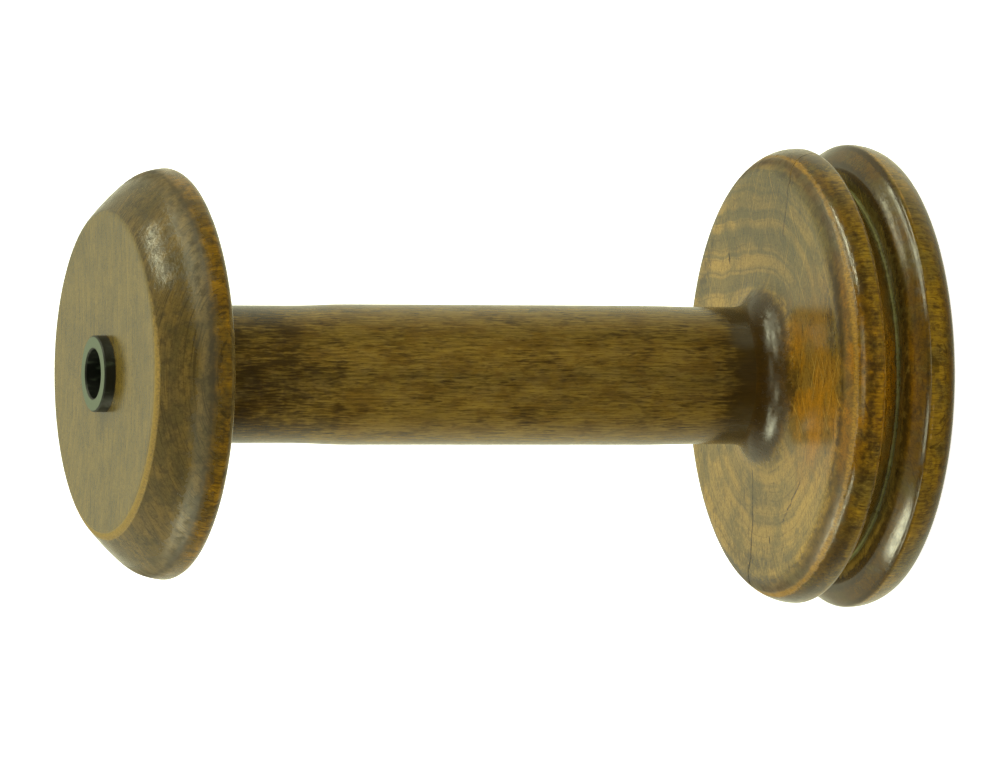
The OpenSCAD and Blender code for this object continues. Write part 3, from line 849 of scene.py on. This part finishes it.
WHORL_WOOD = stained_wood(
    "whorl_wood", 23.0, ((0.45, 0.275, 0.053, 1.0), (0.15, 0.112, 0.034, 1.0)),
    ((0.118, 0.058, 0.004, 1.0), (0.062, 0.03, 0.0025, 1.0)), ((0.28, 0.156, 0.012, 1.0), (0.165, 0.09, 0.009, 1.0)),
    dark=(0.03, 0.015, 0.002, 1.0), patch_tone=(0.105, 0.085, 0.026, 1.0), rubbed=(0.37, 0.19, 0.012, 1.0),
    worn=[(INNER_FACE_RADIUS + 4.15, WHORL_THICKNESS - 2.15, 0.7, 0.75),
          (OUTER_DISC_RADIUS, OUTER_RIM_HEIGHT, 0.3, 0.3), (LIP_RADIUS + 0.8, LIP_HEIGHT + 0.3, 0.5, 0.6)],
    # The first two rings are painted shade, in the cove and down in the drive groove; the others are stain kept round
    # the face and rims.
    stain_and_shade=[(FOOT_NECK_RADIUS, COVE_TOP, 6.3, 1.3), (GROOVE_BOTTOM_RADIUS + 3.2, GROOVE_FLOOR - 0.2, 1.1, 0.8),
             (INNER_FACE_RADIUS + 1.8, WHORL_THICKNESS - 0.4, 1.1, 0.55), (INNER_FACE_RADIUS - 1.5, WHORL_THICKNESS, 2.2, 0.3),
             (INNER_DISC_RADIUS - 0.2, INNER_RIM_HEIGHT + 1.8, 1.5, 0.6),
             (OUTER_DISC_RADIUS - 0.4, OUTER_RIM_HEIGHT + 1.0, 0.5, 0.6)],
    # A pale line of dust along the drive groove's bottom, which is also a painted highlight on that crease.
    dust_and_sheen=[(GROOVE_BOTTOM_RADIUS + 0.1, GROOVE_HEIGHT, 0.45, 0.62)],
    dull=[(INNER_FACE_RADIUS + 3.0, WHORL_THICKNESS - 1.3, 1.3, 1.0), (FOOT_NECK_RADIUS + 1.5, COVE_TOP - 4.0, 3.0, 0.35)],
    pith=(1.0, -3.0, 0.0), ring_width=3.6, flatness=0.85, wander=5.0, ring_depths=(0.45, 0.8), late_depth=0.4, grime_and_shade_depth=0.88,
    streak=(0.4, 5.0), streak_depths=(0.35, 0.6), dash_depths=(0.3, 0.55), clump=5.0, fleck=(3.2, 0.28, 2.0),
    fleck_rareness=0.6, fleck_depth=0.5, patch=(9.0, 1.0), patch_depths=(0.6, 0.6), speckle_depth=0.5,
    # The painted reflection of the barrel lies on the face in front of it, centred 26 mm along -Y.
    scratch_depth=0.5, painted_reflection=((0.0, -26.0, WHORL_THICKNESS), 15.0), greyer_side=((0.8, -0.6, 0.0), 10.0, 28.0, 0.5))
# Each crack is a way of (X, Y, width, height of its foot), open upwards through the face
WHORL_CRACKS = [
    [(41.8, -8.1, 0.3, 13.8), (39.93, -9.19, 0.28, 14.4), (38.45, -10.15, 0.24, 17.6), (36.99, -11.06, 0.2, 19.1),
     (34.81, -12.58, 0.18, 20.2), (31.0, -11.6, 0.1, 20.8), (25.0, -9.8, 0.04, 21.0)],
    [(-41.8, 12.6, 0.6, 14.5), (-40.0, 11.0, 0.5, 15.2), (-38.4, 9.5, 0.42, 17.2), (-36.9, 7.4, 0.34, 19.0),
     (-33.0, 5.3, 0.28, 20.2), (-27.0, 4.5, 0.18, 20.6), (-17.0, 4.4, 0.05, 21.0)],
    [(-18.9, -18.2, 0.02, 21.0), (-22.4, -14.4, 0.045, 20.9), (-26.1, -10.1, 0.02, 21.0)],
    [(20.6, 16.0, 0.1, 20.8), (21.4, 16.2, 0.4, 20.5), (22.4, 16.3, 0.1, 20.8)],
    [(-30.0, -3.9, 0.1, 20.9), (-29.5, -3.8, 0.35, 20.6), (-29.0, -3.8, 0.1, 20.9)],
]


def crack_walls_in_painted_shade():
    """The near-black wood inside a crack, which is painted shade, with a fine speckle of dust."""
    material, tree = new_material("crack_walls_in_painted_shade")
    place = add(tree, "ShaderNodeTexCoord").outputs["Object"]
    dust = add(tree, "ShaderNodeTexNoise", Vector=place, Scale=2500.0, Detail=2.0).outputs[0]
    finish_material(tree, Base_Color=blend(tree, dust, (0.01, 0.006, 0.002, 1.0), (0.03, 0.018, 0.006, 1.0)),
                    Roughness=0.9, Specular_IOR_Level=0.1)
    return material


def cut_cracks(piece, cracks, walls):
    """Cuts wedge-shaped cracks in a piece."""
    corners, sides = [], []
    for way in cracks:
        first = len(corners)
        for i, (x, y, width, foot) in enumerate(way):
            before, after = way[max(i - 1, 0)], way[min(i + 1, len(way) - 1)]
            along = Vector((after[0] - before[0], after[1] - before[1])).normalized()
            across = Vector((-along.y, along.x)) * width / 2
            for side, height, share in ((1, WHORL_THICKNESS + 1.0, 1.0), (-1, WHORL_THICKNESS + 1.0, 1.0),
                                        (-1, foot, 0.3), (1, foot, 0.3)):
                corners.append(((x + across.x * side * share) * MM, (y + across.y * side * share) * MM, height * MM))
        for i in range(len(way) - 1):
            ring, following = first + 4 * i, first + 4 * i + 4
            for k in range(4):
                sides.append((ring + k, ring + (k + 1) % 4, following + (k + 1) % 4, following + k))
        last = first + 4 * (len(way) - 1)
        sides += [(first + 3, first + 2, first + 1, first), (last, last + 1, last + 2, last + 3)]
    mesh = bpy.data.meshes.new("crack_blades")
    mesh.from_pydata(corners, [], sides)
    mesh.materials.append(walls)
    blades = bpy.data.objects.new("crack_blades", mesh)
    bpy.context.scene.collection.objects.link(blades)
    cut = piece.modifiers.new("cracks", "BOOLEAN")
    cut.operation = "DIFFERENCE"
    cut.solver = "EXACT"
    cut.material_mode = "TRANSFER"
    cut.object = blades
    bpy.context.view_layer.update()
    cracked = bpy.data.meshes.new_from_object(piece.evaluated_get(bpy.context.evaluated_depsgraph_get()))
    cracked.set_sharp_from_angle(angle=SHARP_ANGLE)
    piece.modifiers.clear()
    piece.data = cracked
    bpy.data.objects.remove(blades)


whorl = turn_piece("turned_whorl", WHORL, WHORL_WOOD, steps=320, waviness=0.08, dents=0.12, seed=3.0)
cut_cracks(whorl, WHORL_CRACKS, crack_walls_in_painted_shade())
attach(whorl, "root")
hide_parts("whorl")


# The bushes
# Black moulded plastic, pressed into the outer face of each disc, with a bore that runs on the shaft.
BUSH_RADIUS = 6.75
BUSH_BORE_RADIUS = 4.35
BUSH_BEVEL = 0.25
PLASTIC_IOR = 1.45
PLASTIC = (0.004, 0.005, 0.004, 1.0)
SCUFF_AND_SHEEN_GREY = (0.11, 0.145, 0.1, 1.0)


def black_plastic():
    """Moulded plastic, black and satin, whose end face is laid a teal grey that is painted sheen as well as scuffing.
    """
    material, tree = new_material("black_plastic")
    place = add(tree, "ShaderNodeTexCoord").outputs["Object"]
    place = add(tree, "ShaderNodeVectorMath", {"operation": "SCALE"}, Vector=place, Scale=MM_PER_METRE).outputs[0]
    grain = noise(tree, stretched(tree, place, 0.25, 0.25, 0.25), 5.0, 3.0, 0.6)
    scuffs = spread(tree, noise(tree, stretched(tree, place, 3.0, 0.3, 3.0), 8.0, 2.0), 0.55, 0.75)
    share = add(tree, "ShaderNodeAttribute", {"attribute_name": "end_grain"}).outputs["Fac"]
    # Painted sheen: the end face is laid teal grey, along with the scuffs.
    end_face_sheen = spread(tree, share, 0.85, 0.97)
    colour = blend(tree, maths(tree, "MULTIPLY", end_face_sheen, spread(tree, grain, 0.2, 0.6, 0.75, 1.0)), PLASTIC, SCUFF_AND_SHEEN_GREY)
    colour = blend(tree, maths(tree, "MULTIPLY", scuffs, 0.3), colour, SCUFF_AND_SHEEN_GREY)
    roughness = maths(tree, "ADD", 0.4, maths(tree, "MULTIPLY", scuffs, 0.15))
    bump = add(tree, "ShaderNodeBump", Strength=0.4, Distance=0.00001, Height=grain).outputs[0]
    finish_material(tree, Base_Color=colour, Roughness=roughness, Normal=bump, IOR=PLASTIC_IOR)
    return material


BLACK_PLASTIC = black_plastic()
for name, node, inner, outer in (
    ("moulded_flange_bush", "flange_bush", FLANGE_SEAT, WOOD_LENGTH + BUSH_PROUD),
    ("moulded_whorl_bush", "whorl_bush", WHORL_SEAT, BUSH_INSET),
):
    inwards = math.copysign(BUSH_BEVEL, inner - outer)
    around_bush = (
        Outline(BUSH_BORE_RADIUS, inner)
        .line(BUSH_RADIUS, inner, False)
        .line(BUSH_RADIUS, outer + inwards)
        .line(BUSH_RADIUS - BUSH_BEVEL, outer)
        .line(BUSH_BORE_RADIUS + BUSH_BEVEL, outer)
        .line(BUSH_BORE_RADIUS, outer + inwards)
        .line(BUSH_BORE_RADIUS, inner)
    )
    bush = turn_piece(name, around_bush, BLACK_PLASTIC, steps=128)
    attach(bush, "root")
    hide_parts(node)
